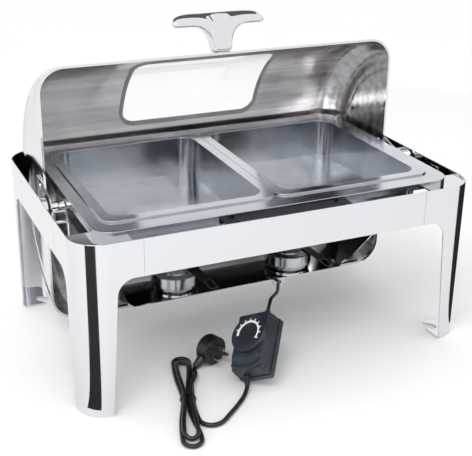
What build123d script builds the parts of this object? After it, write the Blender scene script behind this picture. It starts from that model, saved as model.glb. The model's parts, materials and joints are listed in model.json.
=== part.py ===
"""Roll top chafer with electric heater: stand, pans, rolling lid, burners, controller and cord.

Millimetres. Origin on the table under the centre of the stand, +X to the right along the
lid's hinge line, +Y to the rear, +Z up. The lid is modelled open, rolled 90 degrees back.
"""
import os
from math import cos, degrees, radians, sin, sqrt, tan

from build123d import *

os.makedirs("parts", exist_ok=True)

# ---- driving dimensions ------------------------------------------------------------------
FRAME_X = 638.0
FRAME_Y = 422.0
FRAME_TOP = 265.0
APRON_BOTTOM = 210.0
SHEET = 2.0
FRAME_R = 45.0
SEAM_X = 225.0
SEAM_Y = 100.0
SEAM_GAP = 0.4

AXIS_Z = 241.0            # hinge line of the lid
LID_R = 206.0             # outside radius of the lid about the hinge line
LID_SHEET = 1.4
LID_X = 299.5             # half length of the lid
LID_CORNER = 40.0
RIM_Y = 26.0              # distance of the lid's rim plane from the hinge line
WINDOW_ANGLE = 38.5       # middle of the window above the horizontal, lid open
WINDOW_X = 256.0
WINDOW_H = 170.0
HANDLE_ANGLE = 75.4       # handle above the horizontal, lid open

PAN_RIM_Z = 272.0
WATER_X = 569.0
WATER_Y = 385.0
WELL_X = 506.0
WELL_Y = 303.0
WELL_Z = 188.0
FOOD_X = 264.4
FOOD_Y = 325.0
FOOD_DEPTH = 62.0

CARRIER_Z = 70.0          # top of the burner shelf
CARRIER_HALF_Y = 38.0
SHELF_X = 190.0
UPRIGHT_X = 283.0
CUP_X = 103.0
CUP_R = 40.0
CUP_FOOT_R = 33.0
CUP_TOP = 104.0

CTRL_W = 58.0
CTRL_L = 97.0
CTRL_D = 38.0
LEAD_R = 2.75
CORD_R = 3.25

# ---- stand: one bent-sheet ring, cut into corner legs and apron panels ----------------------
with BuildPart() as ring:
    with BuildSketch():
        RectangleRounded(FRAME_X, FRAME_Y, FRAME_R)
        RectangleRounded(FRAME_X - 2 * SHEET, FRAME_Y - 2 * SHEET, FRAME_R - SHEET, mode=Mode.SUBTRACT)
    extrude(amount=FRAME_TOP)
    with BuildSketch(Plane.XZ):
        with BuildLine():
            Polyline((-275.5, -1), (-262, APRON_BOTTOM), (262, APRON_BOTTOM), (275.5, -1), close=True)
        face = make_face()
        fillet(face.vertices().group_by(Axis.Y)[-1], 26)
    extrude(amount=FRAME_Y, both=True, mode=Mode.SUBTRACT)
    with BuildSketch(Plane.YZ):
        with BuildLine():
            Polyline((-167, -1), (-154, APRON_BOTTOM), (154, APRON_BOTTOM), (167, -1), close=True)
        face = make_face()
        fillet(face.vertices().group_by(Axis.Y)[-1], 26)
    extrude(amount=FRAME_X, both=True, mode=Mode.SUBTRACT)
    fillet(ring.edges().group_by(Axis.Z)[-1], 0.7)

LEG_X = (FRAME_X / 2 - SEAM_X)
LEG_Y = (FRAME_Y / 2 - SEAM_Y)
with BuildPart() as leg_front_left:
    add(ring.part)
    with Locations((-SEAM_X - LEG_X / 2, -SEAM_Y - LEG_Y / 2, 133)):
        Box(LEG_X, LEG_Y, 280, mode=Mode.INTERSECT)
with BuildPart() as leg_front_right:
    mirror(leg_front_left.part, about=Plane.YZ)
with BuildPart() as leg_rear_left:
    mirror(leg_front_left.part, about=Plane.XZ)
with BuildPart() as leg_rear_right:
    mirror(leg_front_right.part, about=Plane.XZ)
leg_front_left.part.label = "leg_front_left"
leg_front_right.part.label = "leg_front_right"
leg_rear_left.part.label = "leg_rear_left"
leg_rear_right.part.label = "leg_rear_right"
export_step(leg_front_left.part, "parts/leg_front_left.step")
export_step(leg_front_right.part, "parts/leg_front_right.step")
export_step(leg_rear_left.part, "parts/leg_rear_left.step")
export_step(leg_rear_right.part, "parts/leg_rear_right.step")

with BuildPart() as front_panel:
    add(ring.part)
    with Locations((0, -FRAME_Y / 2, 133)):
        Box(2 * (SEAM_X - SEAM_GAP), 20, 280, mode=Mode.INTERSECT)
with BuildPart() as rear_panel:
    mirror(front_panel.part, about=Plane.XZ)
with BuildPart() as left_panel:
    add(ring.part)
    with Locations((-FRAME_X / 2, 0, 133)):
        Box(20, 2 * (SEAM_Y - SEAM_GAP), 280, mode=Mode.INTERSECT)
with BuildPart() as right_panel:
    mirror(left_panel.part, about=Plane.YZ)
front_panel.part.label = "front_panel"
rear_panel.part.label = "rear_panel"
left_panel.part.label = "left_panel"
right_panel.part.label = "right_panel"
export_step(front_panel.part, "parts/front_panel.step")
export_step(rear_panel.part, "parts/rear_panel.step")
export_step(left_panel.part, "parts/left_panel.step")
export_step(right_panel.part, "parts/right_panel.step")

# thin straps welded behind each seam
INNER_X = FRAME_X / 2 - SHEET
INNER_Y = FRAME_Y / 2 - SHEET
with BuildPart() as seam_straps:
    with Locations((SEAM_X, INNER_Y - 0.5, 236), (-SEAM_X, INNER_Y - 0.5, 236),
                   (SEAM_X, 0.5 - INNER_Y, 236), (-SEAM_X, 0.5 - INNER_Y, 236)):
        Box(22, 1, 44)
    with Locations((INNER_X - 0.5, SEAM_Y, 236), (INNER_X - 0.5, -SEAM_Y, 236),
                   (0.5 - INNER_X, SEAM_Y, 236), (0.5 - INNER_X, -SEAM_Y, 236)):
        Box(1, 22, 44)
seam_straps.part.label = "seam_straps"
export_step(seam_straps.part, "parts/seam_straps.step")

# foot plates: a quarter of sheet in each leg, with an open U notch facing inwards
with BuildPart() as foot_plates:
    with BuildSketch():
        RectangleRounded(2 * INNER_X, 2 * INNER_Y, FRAME_R - SHEET)
        Rectangle(2 * 274, 2 * INNER_Y + 10, mode=Mode.SUBTRACT)
        Rectangle(2 * INNER_X + 10, 2 * 158, mode=Mode.SUBTRACT)
    extrude(amount=3)
    with BuildSketch():
        with Locations((286, 176), (-286, 176), (286, -176), (-286, -176)):
            Circle(8.5)
        with Locations(Location((277, 166), 45), Location((-277, 166), -45),
                       Location((277, -166), -45), Location((-277, -166), 45)):
            Rectangle(26, 17)
    extrude(amount=3, mode=Mode.SUBTRACT)
foot_plates.part.label = "foot_plates"
export_step(foot_plates.part, "parts/foot_plates.step")

# front supports of the water pan: two corner tabs and a middle ledge
with BuildPart() as corner_tabs:
    with BuildSketch(Plane.XY.offset(260.5)):
        RectangleRounded(2 * INNER_X, 2 * INNER_Y, FRAME_R - SHEET)
        Rectangle(2 * 238, 2 * INNER_Y + 10, mode=Mode.SUBTRACT)
        with Locations((0, 54)):
            Rectangle(2 * INNER_X + 10, 2 * 210, mode=Mode.SUBTRACT)
    extrude(amount=1.5)
corner_tabs.part.label = "corner_tabs"
export_step(corner_tabs.part, "parts/corner_tabs.step")

with BuildPart() as rest_ledge:
    with BuildSketch(Plane.YZ.offset(-101)):
        with BuildLine():
            Polyline((-INNER_Y, 262), (-176, 262), (-176, 252), (-177.5, 252), (-177.5, 260.5),
                     (-INNER_Y + 1.5, 260.5), (-INNER_Y + 1.5, 244), (-INNER_Y, 244), close=True)
        make_face()
    extrude(amount=202)
rest_ledge.part.label = "rest_ledge"
export_step(rest_ledge.part, "parts/rest_ledge.step")

with BuildPart() as ledge_bumpers:
    with Locations((-84, -203.5, 262), (84, -203.5, 262)):
        Cylinder(3.6, 4.4, align=(Align.CENTER, Align.CENTER, Align.MIN))
    fillet(ledge_bumpers.edges().group_by(Axis.Z)[-1], 1.2)
ledge_bumpers.part.label = "ledge_bumpers"
export_step(ledge_bumpers.part, "parts/ledge_bumpers.step")

SHELF_TOP = CARRIER_Z + 1.6

# ---- burner carrier: one sheet bent up at both ends, hung on the lid's hinge pins -------------
ARM_RISE = (UPRIGHT_X - SHELF_X) * tan(radians(41))
with BuildPart() as burner_carrier:
    with BuildSketch(Plane.XZ.offset(-CARRIER_HALF_Y)):
        with BuildLine():
            Polyline((-UPRIGHT_X, 261.8), (-UPRIGHT_X, CARRIER_Z + ARM_RISE), (-SHELF_X, CARRIER_Z),
                     (SHELF_X, CARRIER_Z), (UPRIGHT_X, CARRIER_Z + ARM_RISE), (UPRIGHT_X, 261.8),
                     (UPRIGHT_X - 1.6, 261.8), (UPRIGHT_X - 1.6, CARRIER_Z + ARM_RISE + 0.7),
                     (SHELF_X - 0.7, CARRIER_Z + 1.6), (0.7 - SHELF_X, CARRIER_Z + 1.6),
                     (1.6 - UPRIGHT_X, CARRIER_Z + ARM_RISE + 0.7), (1.6 - UPRIGHT_X, 261.8), close=True)
        make_face()
    extrude(amount=2 * CARRIER_HALF_Y)
    # shelf corners rounded into the bends, with a relief notch at each one
    with BuildSketch(Plane.XY.offset(CARRIER_Z - 5)):
        with Locations((SHELF_X + 4, CARRIER_HALF_Y), (-SHELF_X - 4, CARRIER_HALF_Y),
                       (SHELF_X + 4, -CARRIER_HALF_Y), (-SHELF_X - 4, -CARRIER_HALF_Y)):
            Circle(7)
    extrude(amount=30, mode=Mode.SUBTRACT)
    # top corners of the uprights cut away
    with BuildSketch(Plane.YZ):
        with BuildLine():
            Polyline((40, 225), (40, 270), (22, 270), (22, 262), (24, 252), close=True)
        make_face()
        mirror(about=Plane.YZ)
    extrude(amount=300, both=True, mode=Mode.SUBTRACT)
    with BuildSketch(Plane.YZ):
        with Locations((0, AXIS_Z)):
            Circle(5)
    extrude(amount=300, both=True, mode=Mode.SUBTRACT)
    # raised rings that locate the burner cups
    with BuildSketch(Plane.XY.offset(SHELF_TOP)):
        with Locations((-CUP_X, 0), (CUP_X, 0)):
            Circle(CUP_FOOT_R + 3.6)
        with Locations((-CUP_X, 0), (CUP_X, 0)):
            Circle(CUP_FOOT_R + 0.8, mode=Mode.SUBTRACT)
    extrude(amount=2.2)
burner_carrier.part.label = "burner_carrier"
export_step(burner_carrier.part, "parts/burner_carrier.step")

# ---- hinge hardware: pin through the carrier, a spacer, the lid's ear, a washer and a boss ----
with BuildPart() as hinge_pins:
    with BuildSketch(Plane.YZ.offset(270)):
        with Locations((0, AXIS_Z)):
            Circle(5)
    extrude(amount=INNER_X - 270)
    mirror(about=Plane.YZ)
hinge_pins.part.label = "hinge_pins"
export_step(hinge_pins.part, "parts/hinge_pins.step")

with BuildPart() as hinge_bosses:
    with BuildSketch(Plane.YZ.offset(303.4)):
        with Locations((0, AXIS_Z)):
            Circle(17)
            Circle(5, mode=Mode.SUBTRACT)
    extrude(amount=INNER_X - 303.4)
    fillet(hinge_bosses.edges().group_by(Axis.X)[0].filter_by(GeomType.CIRCLE).sort_by(SortBy.RADIUS)[-1], 1.5)
    mirror(about=Plane.YZ)
hinge_bosses.part.label = "hinge_bosses"
export_step(hinge_bosses.part, "parts/hinge_bosses.step")

with BuildPart() as hinge_washers:
    with BuildSketch(Plane.YZ.offset(302.2)):
        with Locations((0, AXIS_Z)):
            Circle(20)
            Circle(5, mode=Mode.SUBTRACT)
    extrude(amount=1.2)
    mirror(about=Plane.YZ)
hinge_washers.part.label = "hinge_washers"
export_step(hinge_washers.part, "parts/hinge_washers.step")

with BuildPart() as hinge_spacers:
    with BuildSketch(Plane.YZ.offset(UPRIGHT_X)):
        with Locations((0, AXIS_Z)):
            Circle(9)
            Circle(5, mode=Mode.SUBTRACT)
    extrude(amount=300.1 - UPRIGHT_X)
    mirror(about=Plane.YZ)
hinge_spacers.part.label = "hinge_spacers"
export_step(hinge_spacers.part, "parts/hinge_spacers.step")

with BuildPart() as hinge_nuts:
    with BuildSketch(Plane.YZ.offset(UPRIGHT_X - 1.6 - 6)):
        with Locations((0, AXIS_Z)):
            RegularPolygon(9, 6)
            Circle(5, mode=Mode.SUBTRACT)
    extrude(amount=6)
    mirror(about=Plane.YZ)
hinge_nuts.part.label = "hinge_nuts"
export_step(hinge_nuts.part, "parts/hinge_nuts.step")

# stop pins the ears come against when the lid is fully open
with BuildPart() as open_stops:
    with BuildSketch(Plane.YZ.offset(UPRIGHT_X)):
        with Locations((16.6, AXIS_Z - 31.4)):
            Circle(3)
    extrude(amount=20)
    mirror(about=Plane.YZ)
open_stops.part.label = "open_stops"
export_step(open_stops.part, "parts/open_stops.step")

# ---- lid: a body of revolution about the hinge line, cut off at the rim plane -----------------
HINGE_XZ = Plane(origin=(0, 0, AXIS_Z), x_dir=(1, 0, 0), z_dir=(0, -1, 0))
HINGE_AXIS = Axis((0, 0, AXIS_Z), (-1, 0, 0))
WINDOW_AT = Plane(origin=(0, 0, AXIS_Z), x_dir=(1, 0, 0),
                  z_dir=(0, cos(radians(WINDOW_ANGLE)), sin(radians(WINDOW_ANGLE))))
HANDLE_AT = Plane(origin=(0, 0, AXIS_Z), x_dir=(1, 0, 0),
                  z_dir=(0, -sin(radians(HANDLE_ANGLE)), cos(radians(HANDLE_ANGLE))))
HANDLE_UP = Plane(origin=(0, 0, AXIS_Z), x_dir=(1, 0, 0),
                  z_dir=(0, cos(radians(HANDLE_ANGLE)), sin(radians(HANDLE_ANGLE))))
BEAD_Y = 5.0
RIVETS = ((46, AXIS_Z + 20), (46, AXIS_Z - 20))

with BuildPart() as lid_shell:
    with BuildSketch(HINGE_XZ):
        RectangleRounded(2 * LID_X, 2 * LID_R, LID_CORNER)
        RectangleRounded(2 * (LID_X - LID_SHEET), 2 * (LID_R - LID_SHEET), LID_CORNER - LID_SHEET,
                         mode=Mode.SUBTRACT)
        with Locations((0, -LID_R)):
            Rectangle(2 * LID_X + 10, 2 * LID_R, mode=Mode.SUBTRACT)
    revolve(axis=HINGE_AXIS, revolution_arc=180)
    with Locations((0, RIM_Y + BEAD_Y - 150, AXIS_Z)):
        Box(700, 300, 700, mode=Mode.SUBTRACT)
    with BuildSketch(WINDOW_AT.offset(150)):
        RectangleRounded(WINDOW_X, WINDOW_H, 28)
    extrude(amount=80, mode=Mode.SUBTRACT)
    with BuildSketch(Plane.YZ):
        with Locations(*RIVETS):
            Circle(2.5)
    extrude(amount=320, both=True, mode=Mode.SUBTRACT)
    with BuildSketch(HANDLE_UP.offset(150)):
        with Locations((-9, 0), (9, 0)):
            Circle(2.2)
    extrude(amount=80, mode=Mode.SUBTRACT)
lid_shell.part.label = "lid_shell"
export_step(lid_shell.part, "parts/lid_shell.step")

with BuildPart() as lid_rim:
    with BuildSketch(HINGE_XZ):
        RectangleRounded(2 * LID_X + 1.2, 2 * LID_R + 1.6, LID_CORNER)
        RectangleRounded(2 * LID_X - 5.6, 2 * LID_R - 5.6, LID_CORNER - 3, mode=Mode.SUBTRACT)
        with Locations((0, -LID_R)):
            Rectangle(2 * LID_X + 10, 2 * LID_R, mode=Mode.SUBTRACT)
    revolve(axis=HINGE_AXIS, revolution_arc=180)
    with Locations((0, RIM_Y - 150, AXIS_Z)):
        Box(700, 300, 700, mode=Mode.SUBTRACT)
    with Locations((0, RIM_Y + BEAD_Y + 150, AXIS_Z)):
        Box(700, 300, 700, mode=Mode.SUBTRACT)
lid_rim.part.label = "lid_rim"
export_step(lid_rim.part, "parts/lid_rim.step")

with BuildPart() as window_gasket:
    with BuildSketch(Plane.YZ.offset(-150)):
        with Locations((0, AXIS_Z)):
            Circle(LID_R + 0.6)
            Circle(LID_R - 2.8, mode=Mode.SUBTRACT)
    extrude(amount=300)
    with BuildSketch(WINDOW_AT.offset(150)):
        RectangleRounded(WINDOW_X, WINDOW_H, 28)
        RectangleRounded(WINDOW_X - 12, WINDOW_H - 12, 22, mode=Mode.SUBTRACT)
    extrude(amount=80, mode=Mode.INTERSECT)
window_gasket.part.label = "window_gasket"
export_step(window_gasket.part, "parts/window_gasket.step")

with BuildPart() as lid_window:
    with BuildSketch(Plane.YZ.offset(-150)):
        with Locations((0, AXIS_Z)):
            Circle(LID_R - 0.4)
            Circle(LID_R - 2.2, mode=Mode.SUBTRACT)
    extrude(amount=300)
    with BuildSketch(WINDOW_AT.offset(150)):
        RectangleRounded(WINDOW_X - 12, WINDOW_H - 12, 22)
    extrude(amount=80, mode=Mode.INTERSECT)
lid_window.part.label = "lid_window"
export_step(lid_window.part, "parts/lid_window.step")

# ears carry the lid on the hinge pins; they stand off the rim bead and sit flat on the end walls
with BuildPart() as lid_ear_right:
    with BuildSketch(Plane.YZ.offset(300.3)):
        with BuildLine():
            Polyline((0, AXIS_Z - 22), (26, AXIS_Z - 30), (62, AXIS_Z - 32), (62, AXIS_Z + 32),
                     (26, AXIS_Z + 30), (0, AXIS_Z + 22), close=True)
        make_face()
        with Locations((0, AXIS_Z)):
            Circle(22)
            Circle(5.06, mode=Mode.SUBTRACT)
        with Locations(*RIVETS):
            Circle(2.5, mode=Mode.SUBTRACT)
    extrude(amount=1.8)
    with BuildSketch(Plane.YZ.offset(LID_X)):
        with Locations((47.5, AXIS_Z)):
            Rectangle(29, 60)
        with Locations(*RIVETS):
            Circle(2.5, mode=Mode.SUBTRACT)
    extrude(amount=300.3 - LID_X)
with BuildPart() as lid_ear_left:
    mirror(lid_ear_right.part, about=Plane.YZ)
lid_ear_right.part.label = "lid_ear_right"
lid_ear_left.part.label = "lid_ear_left"
export_step(lid_ear_right.part, "parts/lid_ear_right.step")
export_step(lid_ear_left.part, "parts/lid_ear_left.step")

with BuildPart() as ear_rivets:
    with BuildSketch(Plane.YZ.offset(LID_X - LID_SHEET - 1.6)):
        with Locations(*RIVETS):
            Circle(4.4)
    extrude(amount=1.6)
    with BuildSketch(Plane.YZ.offset(LID_X - LID_SHEET - 1.6)):
        with Locations(*RIVETS):
            Circle(2.5)
    extrude(amount=303.6 - (LID_X - LID_SHEET - 1.6))
    with BuildSketch(Plane.YZ.offset(302.1)):
        with Locations(*RIVETS):
            Circle(4.4)
    extrude(amount=1.5)
    mirror(about=Plane.YZ)
ear_rivets.part.label = "ear_rivets"
export_step(ear_rivets.part, "parts/ear_rivets.step")

# handle: a stem on the crown that opens into two leaf shaped wings
with BuildPart() as lid_handle:
    with BuildSketch(HANDLE_AT):
        with BuildLine():
            Line((-15.5, 200), (15.5, 200))
            Line((15.5, 200), (15.5, 212))
            ThreePointArc((15.5, 212), (31, 236), (74, 247.5))
            ThreePointArc((74, 247.5), (76.8, 250.6), (74.5, 254))
            ThreePointArc((74.5, 254), (0, 270.5), (-74.5, 254))
            ThreePointArc((-74.5, 254), (-76.8, 250.6), (-74, 247.5))
            ThreePointArc((-74, 247.5), (-31, 236), (-15.5, 212))
            Line((-15.5, 212), (-15.5, 200))
        make_face()
    extrude(amount=16, both=True)
    with BuildSketch(HANDLE_UP.offset(190)):
        with BuildLine():
            ThreePointArc((-80, -4.5), (0, -12.5), (80, -4.5))
            Line((80, -4.5), (80, 4.5))
            ThreePointArc((80, 4.5), (0, 12.5), (-80, 4.5))
            Line((-80, 4.5), (-80, -4.5))
        make_face()
    extrude(amount=100, mode=Mode.INTERSECT)
    with BuildSketch(Plane.YZ):
        with Locations((0, AXIS_Z)):
            Circle(LID_R)
    extrude(amount=100, both=True, mode=Mode.SUBTRACT)
lid_handle.part.label = "lid_handle"
export_step(lid_handle.part, "parts/lid_handle.step")

with BuildPart() as handle_screws:
    with BuildSketch(HANDLE_UP.offset(LID_R - LID_SHEET - 2.4)):
        with Locations((-9, 0), (9, 0)):
            Circle(4.2)
    extrude(amount=2.35)
    with BuildSketch(HANDLE_UP.offset(LID_R - LID_SHEET - 2.4)):
        with Locations((-9, 0), (9, 0)):
            Circle(2.2)
    extrude(amount=LID_SHEET + 2.38)
handle_screws.part.label = "handle_screws"
export_step(handle_screws.part, "parts/handle_screws.step")

# ---- pans ---------------------------------------------------------------------------------
with BuildPart() as water_pan:
    with BuildSketch(Plane.XY.offset(PAN_RIM_Z)):
        RectangleRounded(WATER_X, WATER_Y, 30)
    extrude(amount=-10)
    with BuildSketch(Plane.XY.offset(PAN_RIM_Z - 1.4)):
        RectangleRounded(WATER_X - 2.8, WATER_Y - 2.8, 28.6)
    extrude(amount=-10, mode=Mode.SUBTRACT)
    with BuildSketch(Plane.XY.offset(PAN_RIM_Z - 1.4)):
        RectangleRounded(WELL_X + 2.4, WELL_Y + 2.4, 25)
    extrude(amount=-(PAN_RIM_Z - 1.4 - WELL_Z))
    with BuildSketch(Plane.XY.offset(PAN_RIM_Z)):
        RectangleRounded(WELL_X, WELL_Y, 24)
    extrude(amount=-(PAN_RIM_Z - WELL_Z - 1.2), mode=Mode.SUBTRACT)
    fillet(water_pan.edges().group_by(Axis.Z)[-1], 0.6)
water_pan.part.label = "water_pan"
export_step(water_pan.part, "parts/water_pan.step")

FOOD_AT = FOOD_X / 2 + 0.3
with BuildPart() as food_pan_right:
    with BuildSketch(Plane(origin=(FOOD_AT, 0, PAN_RIM_Z + 2.6))):
        RectangleRounded(236, 297, 24)
    extrude(amount=-(FOOD_DEPTH + 2.6), taper=3)
    with BuildSketch(Plane(origin=(FOOD_AT, 0, PAN_RIM_Z + 0.1))):
        RectangleRounded(FOOD_X, FOOD_Y, 20)
    extrude(amount=2.5)
    with BuildSketch(Plane(origin=(FOOD_AT, 0, PAN_RIM_Z + 0.1))):
        RectangleRounded(FOOD_X - 2.4, FOOD_Y - 2.4, 18.8)
        RectangleRounded(236, 297, 24, mode=Mode.SUBTRACT)
    extrude(amount=1.5, mode=Mode.SUBTRACT)
    with BuildSketch(Plane(origin=(FOOD_AT, 0, PAN_RIM_Z + 2.6))):
        RectangleRounded(234, 295, 23)
    extrude(amount=-(FOOD_DEPTH + 1.6), taper=3, mode=Mode.SUBTRACT)
    fillet(food_pan_right.edges().group_by(Axis.Z)[-1], 0.4)
with BuildPart() as food_pan_left:
    mirror(food_pan_right.part, about=Plane.YZ)
food_pan_right.part.label = "food_pan_right"
food_pan_left.part.label = "food_pan_left"
export_step(food_pan_right.part, "parts/food_pan_right.step")
export_step(food_pan_left.part, "parts/food_pan_left.step")

# ---- heater under the water pan -----------------------------------------------------------
with BuildPart() as heater_plate:
    with BuildSketch(Plane.XY.offset(WELL_Z - 4)):
        RectangleRounded(300, 170, 20)
    extrude(amount=4)
heater_plate.part.label = "heater_plate"
export_step(heater_plate.part, "parts/heater_plate.step")

with BuildPart() as heating_element:
    with BuildLine() as element_path:
        FilletPolyline((128, 10, 179.8), (128, 60, 179.8), (-128, 60, 179.8), (-128, -60, 179.8),
                       (128, -60, 179.8), (128, -10, 179.8), radius=28)
    with BuildSketch(Plane(origin=(128, 10, 179.8), z_dir=(0, 1, 0))):
        Circle(4)
    sweep()
heating_element.part.label = "heating_element"
export_step(heating_element.part, "parts/heating_element.step")

with BuildPart() as heater_clamps:
    with Locations((-64, 0, 174.8), (64, 0, 174.8)):
        Box(16, 160, 2)
    with Locations((-64, 76, 179.9), (-64, -76, 179.9), (64, 76, 179.9), (64, -76, 179.9)):
        Cylinder(3, 8.2)
    with Locations((-64, 76, 171.3), (-64, -76, 171.3), (64, 76, 171.3), (64, -76, 171.3)):
        Cylinder(5.5, 5)
heater_clamps.part.label = "heater_clamps"
export_step(heater_clamps.part, "parts/heater_clamps.step")

LEAD_START = (95, 66, 138)
with BuildPart() as terminal_cover:
    with BuildSketch(Plane.XY.offset(150)):
        with Locations((106, 30)):
            RectangleRounded(64, 100, 6)
    extrude(amount=25.4)
    with BuildSketch(Plane.XY.offset(152)):
        with Locations((106, 30)):
            RectangleRounded(60, 96, 4)
    extrude(amount=21.4, mode=Mode.SUBTRACT)
    with Locations((80, -14, 179.7), (132, 76, 179.7), (80, 76, 179.7), (110, -14, 179.7)):
        Cylinder(2.5, 8.6)
terminal_cover.part.label = "terminal_cover"
export_step(terminal_cover.part, "parts/terminal_cover.step")

with BuildPart() as lead_gland:
    with BuildSketch(Plane.XY.offset(138)):
        with Locations((95, 66)):
            Circle(4.6)
    extrude(amount=12)
    with BuildSketch(Plane.XY.offset(146.5)):
        with Locations((95, 66)):
            RegularPolygon(7.2, 6)
    extrude(amount=3.5)
lead_gland.part.label = "lead_gland"
export_step(lead_gland.part, "parts/lead_gland.step")

# ---- burners ------------------------------------------------------------------------------
CUP_BASE = SHELF_TOP + 0.2
with BuildPart() as burner_cup_right:
    with BuildSketch(Plane.XZ):
        with BuildLine():
            Polyline((CUP_X, CUP_BASE), (CUP_X + 26, CUP_BASE), (CUP_X + 31.5, CUP_BASE + 3.4),
                     (CUP_X + 36.5, CUP_BASE + 6), (CUP_X + 39, CUP_BASE + 9.5), (CUP_X + CUP_R, CUP_BASE + 14),
                     (CUP_X + CUP_R, CUP_TOP - 3.4), (CUP_X + CUP_R + 0.9, CUP_TOP - 2.6),
                     (CUP_X + CUP_R + 0.9, CUP_TOP - 1), (CUP_X + CUP_R - 0.2, CUP_TOP), (CUP_X + 21, CUP_TOP),
                     (CUP_X + 21, CUP_TOP - 4), (CUP_X + 22.2, CUP_TOP - 4), (CUP_X + 22.2, CUP_TOP - 1.2),
                     (CUP_X + CUP_R - 1.2, CUP_TOP - 1.2), (CUP_X + CUP_R - 1.2, CUP_BASE + 14.2),
                     (CUP_X + 37.9, CUP_BASE + 10.1), (CUP_X + 35.8, CUP_BASE + 7.1),
                     (CUP_X + 30.9, CUP_BASE + 4.6), (CUP_X + 25.5, CUP_BASE + 1.2), (CUP_X, CUP_BASE + 1.2),
                     close=True)
        make_face()
    revolve(axis=Axis((CUP_X, 0, 0), (0, 0, 1)))
    with BuildSketch(Plane.XY.offset(CUP_TOP - 3)):
        with Locations((CUP_X + 27, 3)):
            Circle(2.5)
    extrude(amount=6, mode=Mode.SUBTRACT)
with BuildPart() as burner_cup_left:
    add(burner_cup_right.part.moved(Location((-2 * CUP_X, 0, 0))))
burner_cup_right.part.label = "burner_cup_right"
burner_cup_left.part.label = "burner_cup_left"
export_step(burner_cup_right.part, "parts/burner_cup_right.step")
export_step(burner_cup_left.part, "parts/burner_cup_left.step")

with BuildPart() as damper_right:
    with BuildSketch(Plane.XY.offset(CUP_TOP + 0.2)):
        with Locations((CUP_X, 0)):
            Circle(23.5)
        with Locations((CUP_X + 27, 3)):
            Circle(5.4)
        with Locations((CUP_X + 27, 3)):
            Circle(2.56, mode=Mode.SUBTRACT)
    extrude(amount=1)
with BuildPart() as damper_left:
    add(damper_right.part.moved(Location((-2 * CUP_X, 0, 0))))
damper_right.part.label = "damper_right"
damper_left.part.label = "damper_left"
export_step(damper_right.part, "parts/damper_right.step")
export_step(damper_left.part, "parts/damper_left.step")

with BuildPart() as damper_handle_right:
    with BuildSketch(Plane.XY.offset(CUP_TOP + 1.2)):
        with BuildLine():
            Polyline((CUP_X + 20, 10), (CUP_X + 35, 10), (CUP_X + 38, -64), (CUP_X + 23, -64), close=True)
        make_face()
        with Locations((CUP_X + 27, 3)):
            Circle(2.56, mode=Mode.SUBTRACT)
    extrude(amount=1.2)
    # wire loop at the end, welded under the strap's edge
    with BuildSketch(Plane.XY.offset(CUP_TOP + 1.2)):
        with Locations((CUP_X + 31.5, -77)):
            RectangleRounded(15, 34, 6)
            RectangleRounded(10.6, 29.6, 4, mode=Mode.SUBTRACT)
    extrude(amount=2.2)
with BuildPart() as damper_handle_left:
    add(damper_handle_right.part.moved(Location((-2 * CUP_X, 0, 0))))
damper_handle_right.part.label = "damper_handle_right"
damper_handle_left.part.label = "damper_handle_left"
export_step(damper_handle_right.part, "parts/damper_handle_right.step")
export_step(damper_handle_left.part, "parts/damper_handle_left.step")

with BuildPart() as damper_rivet_right:
    with BuildSketch(Plane.XY.offset(CUP_TOP - 1.2)):
        with Locations((CUP_X + 27, 3)):
            Circle(2.5)
    extrude(amount=5)
    with BuildSketch(Plane.XY.offset(CUP_TOP + 2.6)):
        with Locations((CUP_X + 27, 3)):
            Circle(4.2)
    extrude(amount=1.2)
with BuildPart() as damper_rivet_left:
    add(damper_rivet_right.part.moved(Location((-2 * CUP_X, 0, 0))))
damper_rivet_right.part.label = "damper_rivet_right"
damper_rivet_left.part.label = "damper_rivet_left"
export_step(damper_rivet_right.part, "parts/damper_rivet_right.step")
export_step(damper_rivet_left.part, "parts/damper_rivet_left.step")

# ---- controller: a box on its lead, leaning with its lower corner on the table ------------------
FACE_OUT = Vector(-0.67505, -0.05952, 0.73537).normalized()
SIDE = Vector(0.54065, -0.71812, 0.43818)
SIDE = (SIDE - FACE_OUT * SIDE.dot(FACE_OUT)).normalized()
ALONG = FACE_OUT.cross(SIDE)
CTRL_ORIGIN = Vector(-73, -203.6, -1.2) + SIDE * (CTRL_W / 2) + ALONG * (CTRL_L / 2)
CTRL = Plane(origin=CTRL_ORIGIN, x_dir=SIDE, z_dir=FACE_OUT)
BACK_H = 10.0


def on_controller(x, y, z):
    """Point of the controller's own frame: across, towards the lead end, out of its face."""
    return CTRL_ORIGIN + SIDE * x + ALONG * y + FACE_OUT * z


SCREWS = ((-24, -43.5), (24, -43.5), (-24, 43.5), (24, 43.5))
with BuildPart() as controller_back:
    with BuildSketch(CTRL):
        RectangleRounded(CTRL_W, CTRL_L, 4)
    extrude(amount=BACK_H)
    chamfer(controller_back.faces().sort_by(Axis(CTRL_ORIGIN, FACE_OUT))[0].edges(), 1.2)
    with BuildSketch(CTRL.offset(2.4)):
        RectangleRounded(CTRL_W - 5, CTRL_L - 5, 2)
    extrude(amount=BACK_H, mode=Mode.SUBTRACT)
    with BuildSketch(CTRL.offset(2.4)):
        with Locations(*SCREWS):
            Circle(4)
    extrude(amount=BACK_H - 2.4)
    with BuildSketch(CTRL.offset(-1)):
        with Locations(*SCREWS):
            Circle(2)
    extrude(amount=30, mode=Mode.SUBTRACT)
controller_back.part.label = "controller_back"
export_step(controller_back.part, "parts/controller_back.step")

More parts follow.
